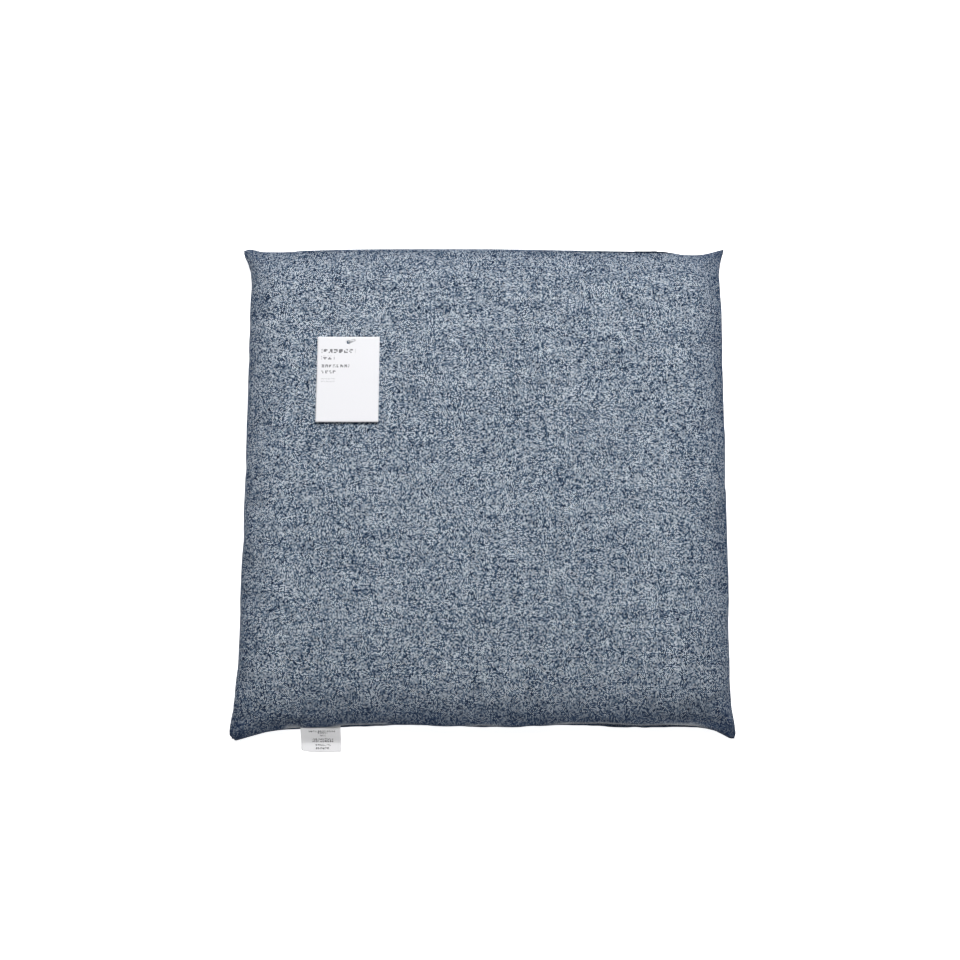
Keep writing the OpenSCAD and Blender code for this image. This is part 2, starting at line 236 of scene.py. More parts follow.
def rim_cells(rows, cols):
    """Grid places round the rim, from the front left corner past the right side."""
    front = [(i, 0) for i in range(rows - 1)]
    right = [(rows - 1, j) for j in range(cols - 1)]
    back = [(i, cols - 1) for i in range(rows - 1, 0, -1)]
    left = [(0, j) for j in range(cols - 1, 0, -1)]
    return front + right + back + left


RIM = rim_cells(ROWS, COLS)


def new_object(name, verts, faces, material=None, smooth=True):
    """verts are in millimetres."""
    mesh = bpy.data.meshes.new(name)
    mesh.from_pydata([tuple(v) for v in np.asarray(verts, float) * MM], [], faces)
    mesh.update()
    ob = bpy.data.objects.new(name, mesh)
    bpy.context.collection.objects.link(ob)
    if material:
        mesh.materials.append(material)
    mesh.polygons.foreach_set("use_smooth", [smooth] * len(mesh.polygons))
    return ob


def thicken(ob, thickness):
    """Makes a sheet thick behind its face, in millimetres."""
    mod = ob.modifiers.new("thickness", "SOLIDIFY")
    mod.thickness, mod.offset = thickness * MM, -1


def with_uv(ob, name, uv):
    """Adds a UV layer from flat places in millimetres, kept in metres."""
    layer = ob.data.uv_layers.new(name=name)
    loops = np.empty(len(ob.data.loops), int)
    ob.data.loops.foreach_get("vertex_index", loops)
    layer.data.foreach_set("uv", (uv[loops] * MM).ravel())


# ---- cloth simulation ----

EXTRA_CLOTH = 0.010               # how much longer the cloth is than the form it covers
MOST_MOVE = 3.0                   # no point of the cloth leaves its first place by more than this
SETTLE_FRAMES = 25


def hold_weights(shape):
    """How firmly the filling holds each point of a panel: the seam fully, its surroundings barely."""
    hold = 0.07 + 0.16 * ease(6, 45, np.minimum(IN_X, IN_Y))
    at_zip = zip_open(shape[..., 0]) * (shape[..., 1] > 0) * (1 - ease(5, 16, IN_Y))
    hold = np.maximum(hold, at_zip)
    hold[[0, -1], :] = 1
    hold[:, [0, -1]] = 1
    return hold


def simulate_bag():
    """Both cover panels as cloth, sewn along the seam and held out by the filling."""
    shapes = [start_shape(side) for side in (1, -1)]
    count = ROWS * COLS
    verts = np.concatenate([s.reshape(-1, 3) for s in shapes])
    bag = new_object("sim_bag", verts, grid_faces(ROWS, COLS) + grid_faces(ROWS, COLS, count, True))
    held = bag.vertex_groups.new(name="held")
    weights = np.concatenate([hold_weights(s).ravel() for s in shapes])
    for k, w in enumerate(weights):
        held.add([k], float(w), "REPLACE")
    cloth = bag.modifiers.new("cloth", "CLOTH")
    st = cloth.settings
    st.quality = 6
    st.mass = 0.0003
    st.air_damping = 2
    st.tension_stiffness, st.compression_stiffness = 25, 20
    st.shear_stiffness, st.bending_stiffness = 12, 0.25
    st.tension_damping = st.compression_damping = st.shear_damping = 12
    st.vertex_group_mass = "held"
    st.shrink_min = -EXTRA_CLOTH
    st.use_pressure = True
    st.uniform_pressure_force = 0.25
    st.effector_weights.gravity = 0
    cloth.collision_settings.use_collision = False
    scene = bpy.context.scene
    scene.frame_start, scene.frame_end = 1, 40
    for f in range(1, SETTLE_FRAMES + 1):
        scene.frame_set(f)
    done = bag.evaluated_get(bpy.context.evaluated_depsgraph_get())
    co = np.empty(len(verts) * 3)
    done.data.vertices.foreach_get("co", co)
    scene.frame_set(1)
    bpy.data.objects.remove(bag)
    move = co.reshape(-1, 3) / MM - verts
    size = np.linalg.norm(move, axis=1, keepdims=True)
    co = verts + move * np.minimum(1, MOST_MOVE / np.maximum(size, 1e-9))
    co[:, 2] = np.clip(co[:, 2], FACE_GAP - 0.2, PAD_H + 0.1)
    return [v.reshape(ROWS, COLS, 3) for v in (co[:count], co[count:])]


# ---- materials ----

def material(name, roughness=0.8, **sockets):
    """A material with its constants on the shader's own sockets. Returns it and a node helper."""
    mat = bpy.data.materials.new(name)
    mat.use_nodes = True
    tree = mat.node_tree
    shader = tree.nodes["Principled BSDF"]
    shader.inputs["Roughness"].default_value = roughness
    for key, value in sockets.items():
        shader.inputs[key.replace("_", " ")].default_value = value
    return mat, Nodes(tree, shader)


class Nodes:
    """Short ways to add and link shader nodes."""

    def __init__(self, tree, shader):
        self.tree, self.shader = tree, shader

    def add(self, kind, **settings):
        node = self.tree.nodes.new(kind)
        for key, value in settings.items():
            setattr(node, key, value)
        return node

    def put(self, socket, value):
        if isinstance(value, (int, float, tuple)):
            socket.default_value = value
        else:
            self.tree.links.new(value, socket)

    def math(self, operation, *values):
        node = self.add("ShaderNodeMath", operation=operation)
        for socket, value in zip(node.inputs, values):
            self.put(socket, value)
        return node.outputs[0]

    def times(self, a, b):
        return self.math("MULTIPLY", a, b)

    def plus(self, a, b):
        return self.math("ADD", a, b)

    def minus(self, a, b):
        return self.math("SUBTRACT", a, b)

    def uv(self, layer):
        """x and y of a UV layer, in millimetres."""
        node = self.add("ShaderNodeUVMap", uv_map=layer)
        parts = self.add("ShaderNodeSeparateXYZ")
        self.put(parts.inputs[0], node.outputs[0])
        return tuple(self.times(parts.outputs[k], 1 / MM) for k in (0, 1))

    def place(self):
        """Object coordinates, in millimetres."""
        node = self.add("ShaderNodeTexCoord")
        scale = self.add("ShaderNodeVectorMath", operation="SCALE")
        self.put(scale.inputs[0], node.outputs["Object"])
        scale.inputs["Scale"].default_value = 1 / MM
        return scale.outputs[0]

    def join(self, x, y, z=0.0):
        node = self.add("ShaderNodeCombineXYZ")
        for socket, value in zip(node.inputs, (x, y, z)):
            self.put(socket, value)
        return node.outputs[0]

    def noise(self, at, scale=1.0, detail=2.0, rough=0.5):
        node = self.add("ShaderNodeTexNoise")
        self.put(node.inputs["Vector"], at)
        node.inputs["Scale"].default_value = scale
        node.inputs["Detail"].default_value = detail
        node.inputs["Roughness"].default_value = rough
        return node.outputs[0]

    def random(self, at):
        node = self.add("ShaderNodeTexWhiteNoise", noise_dimensions="3D")
        self.put(node.inputs["Vector"], at)
        return node.outputs[0]

    def ramp(self, factor, stops):
        node = self.add("ShaderNodeValToRGB")
        self.put(node.inputs[0], factor)
        ramp = node.color_ramp
        while len(ramp.elements) < len(stops):
            ramp.elements.new(0.5)
        for element, (place, colour) in zip(ramp.elements, stops):
            element.position = place
            element.color = (*colour, 1)
        return node.outputs[0]

    def mix(self, factor, a, b):
        node = self.add("ShaderNodeMix", data_type="RGBA")
        self.put(node.inputs[0], factor)
        for socket, value in ((node.inputs[6], a), (node.inputs[7], b)):
            self.put(socket, (*value, 1) if isinstance(value, tuple) and len(value) == 3 else value)
        return node.outputs[2]

    def attribute(self, name):
        return self.add("ShaderNodeAttribute", attribute_name=name).outputs["Fac"]

    def colour(self, value):
        self.put(self.shader.inputs["Base Color"], value)

    def bump(self, height, distance_mm, strength=1.0):
        node = self.add("ShaderNodeBump")
        node.inputs["Strength"].default_value = strength
        node.inputs["Distance"].default_value = distance_mm * MM
        self.put(node.inputs["Height"], height)
        self.put(self.shader.inputs["Normal"], node.outputs[0])


# The cover's weave, in millimetres, with shades from 0 for dark to 1 for pale
YARN_PITCH = 0.85                 # yarn spacing
YARN_DRIFT = 2.2                  # how far a yarn strays from a straight line
SLUB, FLECK, OWN_SHADE = 0.32, 0.45, 0.12  # how much slubs, flecks and the yarn's own shade count
WEFT_LIGHTER = 0.16               # how much paler the weft is than the warp
FLOAT_SPREAD = 0.90               # how much single crossings differ in shade
CLOUD_SPREAD = 0.22               # how much broad bands along the weft differ in shade
SHADE_OFFSET = 0.375              # taken off the sum of these
VALLEY_SHADE = 0.80                # how dark the gaps between yarns are painted, as painted shade
LIP_WEAR_AND_HIGHLIGHT = 0.85                   # how pale the front lip is painted: wear, and a painted highlight where it lifts
WEAVE_RELIEF = 0.16               # height of the yarns


def heather_weave():
    """Plain weave of yarns whose shade changes along their length, navy to pale blue-grey."""
    mat, n = material("heather_weave", 0.90, Sheen_Weight=0.02, Specular_IOR_Level=0.15)
    u, v = n.uv("weave")
    drift = n.times(n.minus(n.noise(n.join(u, v), 0.05, 2), 0.5), YARN_DRIFT)
    u = n.math("DIVIDE", n.plus(u, drift), YARN_PITCH)
    v = n.math("DIVIDE", n.plus(v, drift), YARN_PITCH)
    warp_n, weft_n = n.math("FLOOR", u), n.math("FLOOR", v)

    def yarn(index, along, seed):
        """Shade of one yarn: slubs over several crossings, short flecks and its own base shade."""
        slub_at = n.join(n.times(index, 7.31), n.times(along, 0.13), seed)
        slub = n.times(n.noise(slub_at, 1.0, 0), SLUB)
        fleck_at = n.join(n.times(index, 3.77), n.times(along, 0.9), seed + 5)
        fleck = n.times(n.noise(fleck_at, 1.0, 0), FLECK)
        own = n.times(n.random(n.join(index, seed, 0.5)), OWN_SHADE)
        return n.plus(n.plus(slub, fleck), own)

    over = n.math("MODULO", n.plus(n.plus(warp_n, weft_n), 4000.0), 2.0)
    blend = n.add("ShaderNodeMix", data_type="FLOAT")
    n.put(blend.inputs[0], over)
    n.put(blend.inputs[2], n.plus(yarn(weft_n, u, 9.5), WEFT_LIGHTER))
    n.put(blend.inputs[3], yarn(warp_n, v, 1.5))
    crossing = n.math("POWER", n.random(n.join(warp_n, weft_n, 2.5)), 0.7)
    float_shade = n.times(crossing, FLOAT_SPREAD)
    band_at = n.join(n.times(u, 0.022), n.times(v, 0.15), 3.3)
    cloud = n.times(n.minus(n.noise(band_at, 1.0, 1), 0.5), CLOUD_SPREAD)
    shade = n.plus(n.plus(blend.outputs[0], float_shade), cloud)
    shade = n.minus(shade, SHADE_OFFSET)
    base = n.ramp(shade, (
        (0.28, (0.003, 0.008, 0.026)),
        (0.52, (0.050, 0.085, 0.145)),
        (0.78, (0.260, 0.335, 0.425)),
        (1.00, (0.740, 0.810, 0.880)),
    ))
    hill_u = n.math("ABSOLUTE", n.math("SINE", n.times(u, math.pi)))
    hill_v = n.math("ABSOLUTE", n.math("SINE", n.times(v, math.pi)))
    hill = n.times(hill_u, hill_v)
    valley = n.minus(1.0, n.math("MINIMUM", n.times(hill, 2.2), 1.0))
    # Painted shade in the gaps between yarns.
    shaded = n.mix(n.times(valley, VALLEY_SHADE), base, (0.006, 0.012, 0.028))
    # Painted shade: the edge attribute darkens and blues the cloth along its edges.
    edge_shaded = n.mix(n.attribute("edge"), shaded, (0.008, 0.022, 0.060))
    # Paler front lip: partly wear, partly a painted highlight where the lifted lip catches light.
    worn_and_lit = n.mix(n.times(n.attribute("lip"), LIP_WEAR_AND_HIGHLIGHT), edge_shaded, (0.60, 0.62, 0.63))
    n.colour(worn_and_lit)
    fuzz = n.times(n.noise(n.join(u, v, 8.0), 2.5, 2), 0.6)
    n.bump(n.plus(hill, fuzz), WEAVE_RELIEF, 0.7)
    return mat


def plain_thread(name, dark, light):
    """Spun thread: a fine twist along any direction."""
    mat, n = material(name, 0.75, Sheen_Weight=0.1)
    at = n.place()
    twist = n.noise(at, 4.0, 2)
    n.colour(n.mix(twist, dark, light))
    n.bump(twist, 0.08, 0.8)
    return mat


def tape_weave():
    """Zip tape: a fine herringbone rib."""
    mat, n = material("zip_tape_weave", 0.85, Sheen_Weight=0.08)
    at = n.place()
    parts = n.add("ShaderNodeSeparateXYZ")
    n.put(parts.inputs[0], at)
    x, z = parts.outputs[0], parts.outputs[2]
    zig = n.math("ABSOLUTE", n.minus(n.math("FRACT", n.times(z, 0.5)), 0.5))
    rib = n.math("SINE", n.plus(n.times(x, 9.0), n.times(zig, 14.0)))
    grain = n.noise(at, 3.0, 2)
    shade = n.plus(n.times(rib, 0.3), grain)
    n.colour(n.mix(shade, (0.018, 0.028, 0.055), (0.055, 0.075, 0.120)))
    n.bump(rib, 0.12, 0.8)
    return mat


def coil_nylon():
    mat, n = material("coil_nylon", 0.35, Specular_IOR_Level=0.5)
    grain = n.noise(n.place(), 0.8, 2)
    n.colour(n.mix(grain, (0.020, 0.032, 0.065), (0.045, 0.062, 0.105)))
    n.bump(n.noise(n.place(), 6.0, 2), 0.02, 0.5)
    return mat


def metal(name, dark, light, roughness, metallic=1.0):
    """Cast or painted metal, rubbed brighter in patches."""
    mat, n = material(name, roughness, Metallic=metallic)
    wear = n.noise(n.place(), 0.9, 4, 0.6)
    n.colour(n.mix(wear, dark, light))
    n.put(n.shader.inputs["Roughness"], n.plus(n.times(wear, 0.25), roughness - 0.1))
    n.bump(n.noise(n.place(), 5.0, 3), 0.02, 0.6)
    return mat


def foam_cells():
    mat, n = material("foam_cells", 0.95)
    cell = n.add("ShaderNodeTexVoronoi")
    n.put(cell.inputs["Vector"], n.place())
    cell.inputs["Scale"].default_value = 1.6
    n.colour(n.ramp(cell.outputs["Distance"], ((0.0, (0.50, 0.44, 0.28)), (0.6, (0.83, 0.78, 0.60)))))
    n.bump(cell.outputs["Distance"], 0.4, 0.9)
    return mat


def liner_felt():
    mat, n = material("liner_felt", 0.95)
    at = n.place()
    dots = n.add("ShaderNodeTexVoronoi")
    n.put(dots.inputs["Vector"], at)
    dots.inputs["Scale"].default_value = 0.9
    fibre = n.noise(at, 1.8, 4, 0.7)
    n.colour(n.mix(fibre, (0.72, 0.72, 0.70), (0.90, 0.90, 0.88)))
    n.bump(n.plus(fibre, dots.outputs["Distance"]), 0.15, 0.7)
    return mat


def printed(n, u, v, rows, base):
    """Rows of unreadable print: random marks in small cells. Each row is
    (middle height, letter height, first x, last x, ink)."""
    colour = base
    for k, (middle, height, first, last, ink) in enumerate(rows):
        cell = height / 3.2
        inside_v = n.math("LESS_THAN", n.math("ABSOLUTE", n.minus(v, middle)), height / 2)
        inside_u = n.times(n.math("GREATER_THAN", u, first), n.math("LESS_THAN", u, last))
        col = n.math("FLOOR", n.math("DIVIDE", u, cell))
        row = n.math("FLOOR", n.math("DIVIDE", n.minus(v, middle - height / 2), cell))
        mark = n.math("GREATER_THAN", n.random(n.join(col, row, k + 0.5)), 0.40)
        space = n.math("GREATER_THAN", n.math("MODULO", n.plus(col, 400.0), 4.0), 0.5)
        on = n.times(n.times(inside_v, inside_u), n.times(mark, space))
        colour = n.mix(n.times(on, ink), colour, (0.05, 0.05, 0.06))
    return colour


def card():
    """Coated card: faint fibre, and rows of print at the upper left."""
    mat, n = material("tag_card", 0.55, Specular_IOR_Level=0.35)
    u, v = n.uv("card")
    fibre = n.noise(n.join(u, v), 1.2, 4, 0.6)
    base = n.mix(fibre, (0.735, 0.735, 0.765), (0.785, 0.785, 0.81))
    top = TAG_HIGH[1] - TAG_LOW[1]
    first = 3.6                   # where every row starts
    rows = tuple((top - down, height, first, last, ink) for down, height, last, ink in (
        (12.4, 3.4, 32, 0.85), (18.2, 3.2, 14.5, 0.85), (25.4, 2.5, 27, 0.85),
        (30.6, 2.5, 16, 0.85), (36.6, 1.2, 15.5, 0.35), (38.9, 1.2, 15.5, 0.35)))
    n.colour(printed(n, u, v, rows, base))
    n.bump(fibre, 0.02, 0.5)
    return mat


def satin():
    """Woven satin ribbon with small centred rows of print on its upper ply."""
    mat, n = material("label_satin", 0.42, Sheen_Weight=0.2, Specular_IOR_Level=0.5)
    u, v = n.uv("ribbon")
    float_yarn = n.noise(n.join(n.times(u, 6.0), n.times(v, 0.7)), 1.0, 2)
    base = n.mix(float_yarn, (0.88, 0.88, 0.90), (0.95, 0.95, 0.96))
    mid, height, ink = 17.5, 1.5, 0.95
    rows = tuple((middle, height, mid - w / 2, mid + w / 2, ink) for middle, w in (
        (10.3, 22), (12.0, 8), (14.5, 5), (18.1, 17), (20.0, 17), (23.2, 12.6), (25.7, 11)))
    n.colour(printed(n, u, v, rows, base))
    n.bump(float_yarn, 0.05, 0.6)
    return mat


def clear_nylon():
    mat, n = material("clear_nylon", 0.25, Transmission_Weight=0.75, IOR=1.5)
    n.colour(n.mix(n.noise(n.place(), 1.5, 2), (0.86, 0.88, 0.90), (0.95, 0.96, 0.97)))
    return mat


M = {
    "weave": heather_weave(),
    "navy_thread": plain_thread("navy_thread", (0.020, 0.030, 0.055), (0.075, 0.095, 0.145)),
    "zip_thread": plain_thread("zip_thread", (0.090, 0.120, 0.170), (0.240, 0.290, 0.360)),
    "white_thread": plain_thread("white_thread", (0.70, 0.70, 0.69), (0.92, 0.92, 0.91)),
    "tape": tape_weave(),
    "coil": coil_nylon(),
    "stop": metal("stop_metal", (0.45, 0.46, 0.48), (0.75, 0.76, 0.78), 0.38),
    "slider": metal("slider_metal", (0.020, 0.028, 0.045), (0.060, 0.075, 0.105), 0.40, 0.35),
    "foam": foam_cells(),
    "liner": liner_felt(),
    "card": card(),
    "satin": satin(),
    "nylon": clear_nylon(),
}


# ---- the camera, the light and the floor ----

VIEW_ELEVATION = 78.0
VIEW_DISTANCE = 1.2
VIEW_LENS = 53.44                 # on a 36 mm sensor
CENTRE_SHIFT = (-0.0055, 0.0038)  # the pad's centre lies a little right of and below the frame's
FLOOR_HALF, FLOOR_Z = 3000.0, -0.3
FLOOR_GLOW = 0.85                 # light of its own that keeps the floor white
SOFTBOX = {"place": (0.12, 0.85, 1.35), "size": (1.0, 0.8), "power": 29, "target": (0, 0.05, 0)}
SKY_FADE = (0.0, 0.70, 0.85, 0.08)  # two heights, then the sky's strength at each


def aim(ob, target=(0, 0, 0)):
    ob.rotation_euler = (Vector(target) - ob.location).to_track_quat("-Z", "Y").to_euler()


def camera():
    cam = bpy.data.cameras.new("camera")
    ob = bpy.data.objects.new("camera", cam)
    bpy.context.collection.objects.link(ob)
    tilt = math.radians(VIEW_ELEVATION)
    ob.location = (0, -VIEW_DISTANCE * math.cos(tilt), VIEW_DISTANCE * math.sin(tilt))
    aim(ob)
    cam.sensor_width = 36
    cam.lens = VIEW_LENS
    cam.shift_x, cam.shift_y = CENTRE_SHIFT
    cam.dof.use_dof = False
    bpy.context.scene.camera = ob


def area_light(name, place, size, power, target):
    light = bpy.data.lights.new(name, "AREA")
    light.shape = "RECTANGLE"
    light.size, light.size_y = size
    light.energy = power
    ob = bpy.data.objects.new(name, light)
    bpy.context.collection.objects.link(ob)
    ob.location = place
    aim(ob, target)


def studio():
    mat, n = material("floor_white", 0.9)
    n.colour(n.mix(n.noise(n.place(), 0.02, 2), (0.93, 0.93, 0.93), (0.95, 0.95, 0.95)))
    n.shader.inputs["Emission Color"].default_value = (1, 1, 1, 1)
    n.shader.inputs["Emission Strength"].default_value = FLOOR_GLOW
    corners = ((-1, -1), (1, -1), (1, 1), (-1, 1))
    verts = [(x * FLOOR_HALF, y * FLOOR_HALF, FLOOR_Z) for x, y in corners]
    floor = new_object("floor", verts, [[0, 1, 2, 3]], mat)
    area_light("top_softbox", **SOFTBOX)
    world = bpy.data.worlds.new("studio")
    bpy.context.scene.world = world
    world.use_nodes = True
    tree = world.node_tree
    sky = tree.nodes["Background"]
    sky.inputs["Color"].default_value = (1.0, 1.0, 1.0, 1)
    direction = tree.nodes.new("ShaderNodeTexCoord")
    parts = tree.nodes.new("ShaderNodeSeparateXYZ")
    fade = tree.nodes.new("ShaderNodeMapRange")
    for socket, value in zip(fade.inputs[1:5], SKY_FADE):
        socket.default_value = value
    tree.links.new(direction.outputs["Generated"], parts.inputs[0])
    tree.links.new(parts.outputs[2], fade.inputs[0])
    tree.links.new(fade.outputs[0], sky.inputs["Strength"])
    bpy.context.scene.view_settings.view_transform = "Standard"


camera()
studio()


# ---- the cover ----

LIP_RISE = 0.9                    # half the height of the seam's two rolled lips together
LIP_IN = 1.3                      # depth of the groove between them
ALLOWANCE = 7.0                   # seam allowance turned in
CLOTH_T = 0.7                     # thickness of the cloth
UPPER_LIP = (0, 2.3, 0.9)         # where a gape of height 1 moves the front seam's upper lip
LOWER_LIP = (0, -0.3, -0.8)       # and its lower lip
LOWER_CUT = (731.0, 389.0)        # where in the cloth the lower panel was cut, from the upper one

# Painted shade along the left, right, front and back edges: the share of the cloth's colour taken
# off at the seam, and how far in that reaches, in millimetres of cloth. It is painted into the
# colour in place of shading that the shape and light don't give.
EDGE_PAINTED_SHADE = ((0.60, 16.0), (0.62, 19.0), (0.80, 20.0), (0.58, 18.0))


def painted_edge_shade(s, t):
    """Share of the colour taken off as painted shade at a place of the flat panel."""
    depths = (CUT_W / 2 + s, CUT_W / 2 - s, CUT_D / 2 + t, CUT_D / 2 - t)
    kept = 1.0
    for depth, (share, reach) in zip(depths, EDGE_PAINTED_SHADE):
        kept = kept * (1 - share * np.exp(-(np.maximum(depth, 0) / reach) ** 1.4))
    return 1 - kept


def rim_frames(shape):
    """Rim points in order, the inward direction at each, and how much of the zip slot is there."""
    points = np.array([shape[i, j] for i, j in RIM])
    ahead = np.roll(points, -1, 0) - np.roll(points, 1, 0)
    inward = np.stack([-ahead[:, 1], ahead[:, 0]], -1)
    inward /= np.linalg.norm(inward, axis=1, keepdims=True)
    at_back = np.array([j == COLS - 1 for _, j in RIM])
    return points, inward, zip_open(points[:, 0]) * at_back


def flat_3d(directions):
    return np.concatenate([directions, np.zeros((len(directions), 1))], 1)


def seam_depth(points, depth):
    """A depth inside the seam's edge, less near the ears' tips, which are too narrow for it."""
    near = [np.hypot(points[:, 0] - e["tip"][0], points[:, 1] - e["tip"][1]) for e in EARS]
    return np.minimum(depth, 0.3 + 0.42 * np.min(near, 0))[:, None]


def panel_piece(name, shape, side):
    """A cover panel with a rolled lip and its allowance turned in, as thick cloth."""
    points, inward, slot = rim_frames(shape)
    slot = slot[:, None]
    shape = shape.copy()
    up = np.array([0, 0, side])
    at_front = np.array([j == 0 for _, j in RIM])
    lifted = (gape(points[:, 0]) * at_front)[:, None]
    lip = points + up * LIP_RISE * (1 - slot)
    lip = lip + lifted * np.array(UPPER_LIP if side > 0 else LOWER_LIP)
    for (i, j), p in zip(RIM, lip):
        shape[i, j] = p
    into = flat_3d(inward)
    groove_in = seam_depth(points, LIP_IN) * (1 - slot) + 0.9 * slot
    groove = points + into * groove_in + up * (0.25 + 0.1 * slot)
    tail_in = seam_depth(points, ALLOWANCE) * (1 - slot) + 0.95 * slot
    tail = points + into * tail_in + up * (0.2 + 5.0 * slot)
    verts = np.concatenate([shape.reshape(-1, 3), groove, tail])
    faces = grid_faces(ROWS, COLS, 0, side < 0)
    rim = [i * COLS + j for i, j in RIM]
    count, loop = ROWS * COLS, len(RIM)
    in_groove, in_tail = range(count, count + loop), range(count + loop, count + 2 * loop)
    for k in range(loop):
        m = (k + 1) % loop
        for first, second in ((rim, in_groove), (in_groove, in_tail)):
            quad = [first[k], second[k], second[m], first[m]]
            faces.append(quad if side > 0 else quad[::-1])
    ob = new_object(name, verts, faces, M["weave"])
    s, t = np.meshgrid(CUT_S, CUT_T, indexing="ij")
    flat = np.stack([s, t], -1)
    rim_flat = np.array([flat[i, j] for i, j in RIM])
    out = rim_flat / np.maximum(np.abs(rim_flat).max(1, keepdims=True), 1)
    flat = np.concatenate([flat.reshape(-1, 2), rim_flat + 2 * out, rim_flat + 9 * out])
    if side < 0:
        flat = flat + LOWER_CUT
    with_uv(ob, "weave", flat)
    worn_and_lit, dark = np.zeros(len(verts)), np.ones(len(verts)) * EDGE_PAINTED_SHADE[2][0]
    # The lip attribute pales the top panel's front lip where the seam gapes: wear, and a painted highlight
    # where it lifts.
    if side > 0:
        worn_and_lit[rim] = 0.03 + np.clip(1.6 * lifted[:, 0], 0, 0.9)
        inner = [(i, 1) if j == 0 else (i, j) for i, j in RIM]
        second = [i * COLS + j for i, j in inner]
        worn_and_lit[second] = np.maximum(worn_and_lit[second], np.clip(0.9 * lifted[:, 0], 0, 0.5))
    # The edge attribute is painted shade, strongest at the seams; the groove and allowance points keep the
    # front's share set above.
    dark[:ROWS * COLS] = painted_edge_shade(s, t).ravel()
    for attribute, values in (("lip", worn_and_lit), ("edge", dark)):
        ob.data.attributes.new(attribute, "FLOAT", "POINT").data.foreach_set("value", values)
    thicken(ob, CLOTH_T)
    smooth = ob.modifiers.new("smooth", "SUBSURF")
    smooth.levels = smooth.render_levels = 1
    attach(ob, "pad")
    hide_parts(name)
    return ob


TOP, BOTTOM = simulate_bag()
panel_piece("cover_top", TOP, 1)
panel_piece("cover_bottom", BOTTOM, -1)


# ---- threads, tubes and blocks ----

def tube(path, radius, sides=8, up=(0, 0, 1)):
    """Round tube along open points, with closed ends; radius is a number or one for each point."""
    path = np.asarray(path, float)
    radius = np.broadcast_to(radius, len(path))
    ahead = np.gradient(path, axis=0)
    ahead /= np.linalg.norm(ahead, axis=1, keepdims=True)
    across = np.cross(ahead, up)
    across /= np.maximum(np.linalg.norm(across, axis=1, keepdims=True), 1e-9)
    other = np.cross(across, ahead)
    turn = np.arange(sides) * 2 * math.pi / sides
    ring = across[:, None] * np.cos(turn)[None, :, None] + other[:, None] * np.sin(turn)[None, :, None]
    verts = (path[:, None] + ring * radius[:, None, None]).reshape(-1, 3)
    faces = []
    for k in range(len(path) - 1):
        for m in range(sides):
            a, b = k * sides + m, k * sides + (m + 1) % sides
            faces.append([a, a + sides, b + sides, b])
    last = (len(path) - 1) * sides
    return verts, faces + [list(range(sides)), [last + m for m in range(sides - 1, -1, -1)]]


def merged(parts):
    """One list of verts and faces from several."""
    verts, faces, start = [], [], 0
    for v, f in parts:
        verts.append(v)
        faces += [[start + k for k in face] for face in f]
        start += len(v)
    return np.concatenate(verts), faces


def far_along(line):
    """Distance along a line to each of its points."""
    return np.concatenate([[0], np.cumsum(np.linalg.norm(np.diff(line, axis=0), axis=1))])


def at_far(q, far, values):
    """Values of a line's points, at other distances along it."""
    return np.stack([np.interp(q, far, values[:, k]) for k in range(3)], -1)


def stitches(line, normal, length, gap, radius):
    """Separate thread stitches along a line, bedded at both ends into the cloth behind normal."""
    line = np.asarray(line, float)
    normal = np.broadcast_to(np.asarray(normal, float), line.shape)
    far = far_along(line)
    parts = []
    for first in np.arange(0.5, far[-1] - length, length + gap):
        q = first + length * np.array([0, 0.08, 0.3, 0.5, 0.7, 0.92, 1])
        point, out = at_far(q, far, line), at_far(q, far, normal)
        rise = np.array([-1.1, -0.4, 0.2, 0.35, 0.2, -0.4, -1.1]) * radius
        thin = np.array([0.55, 0.85, 1, 1, 1, 0.85, 0.55]) * radius
        parts.append(tube(point + out * rise[:, None], thin, 6, out[3] + 0.01))
    return merged(parts)


def piece(name, mesh, material_name, body, nodes=None, smooth=True):
    ob = new_object(name, *mesh, M[material_name], smooth)
    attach(ob, body)
    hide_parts(*(nodes or [name]))
    return ob


def bevelled(ob, width, segments=3):
    mod = ob.modifiers.new("bevel", "BEVEL")
    mod.width, mod.segments, mod.limit_method = width * MM, segments, "ANGLE"
    return ob


def block(profile, low, high, axis=2):
    """A closed outline in the other two axes, extruded from low to high along axis."""
    profile = np.asarray(profile, float)
    count = len(profile)
    rest = [k for k in range(3) if k != axis]
    verts = np.zeros((2 * count, 3))
    for part, level in enumerate((low, high)):
        ring = slice(part * count, (part + 1) * count)
        verts[ring, axis] = level
        verts[ring, rest] = profile
    sides = [[k, (k + 1) % count, count + (k + 1) % count, count + k] for k in range(count)]
    return verts, sides + [list(range(count))[::-1], list(range(count, 2 * count))]


# ---- the seam ----

def seam_line(depth):
    """Points along the side seams, from one end of the zip round the front to the other, at a
    depth inside the seam's edge, with the outward direction and the share of the depth kept."""
    points, inward, slot = rim_frames(TOP)
    closed = np.where(slot < 0.02)[0]
    order = np.concatenate([closed[closed > len(points) // 2], closed[closed <= len(points) // 2]])
    room = seam_depth(points, depth)
    into = flat_3d(inward)
    line = points + into * room
    return line[order], -into[order], room[order, 0] / depth


SEAM, SEAM_OUT, _ = seam_line(1.9)
SEAM_STITCHES = stitches(SEAM, SEAM_OUT, length=2.6, gap=0.5, radius=0.26)
piece("side_seam_thread", SEAM_STITCHES, "navy_thread", "pad")
OVERLOCK_STEP = 0.8               # a quarter turn of the thread along the edge
OVERLOCK_HALF = (1.6, 1.15)       # half the width and height of its turns


